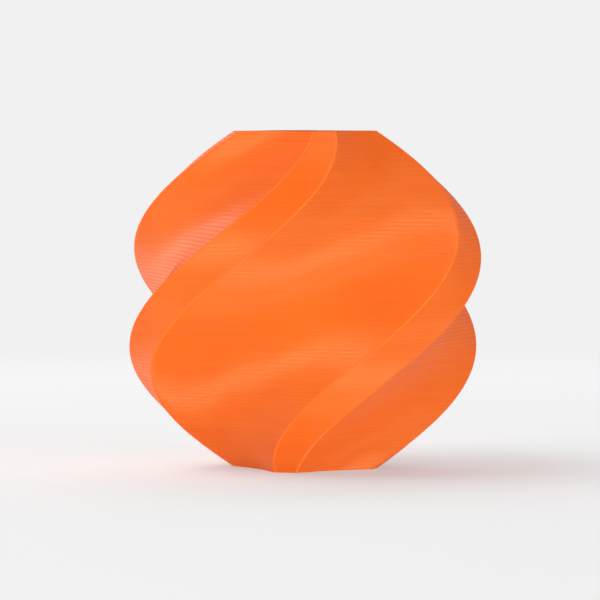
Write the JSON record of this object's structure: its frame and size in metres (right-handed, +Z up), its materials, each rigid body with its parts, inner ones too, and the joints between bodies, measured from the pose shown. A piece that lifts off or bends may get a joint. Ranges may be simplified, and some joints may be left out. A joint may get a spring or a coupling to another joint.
{
  "type": "twisted vase",
  "caption": "Squat four-sided vase with hollow faces between flat corner bands, twisted as it rises from a narrow flat foot through a wide belly to a narrow open mouth.",
  "frame": {"origin": "centre of the foot, on the surface that the vase stands on", "axes": "+Z up along the axis of the twist; at mid-height one face looks along -Y"},
  "size_m": [0.0568, 0.0568, 0.055],
  "materials": {
    "printed_plastic": "satin orange, printed in fine level layers"
  },
  "bodies": {
    "root": {"vase": "printed_plastic"}
  },
  "joints": []
}
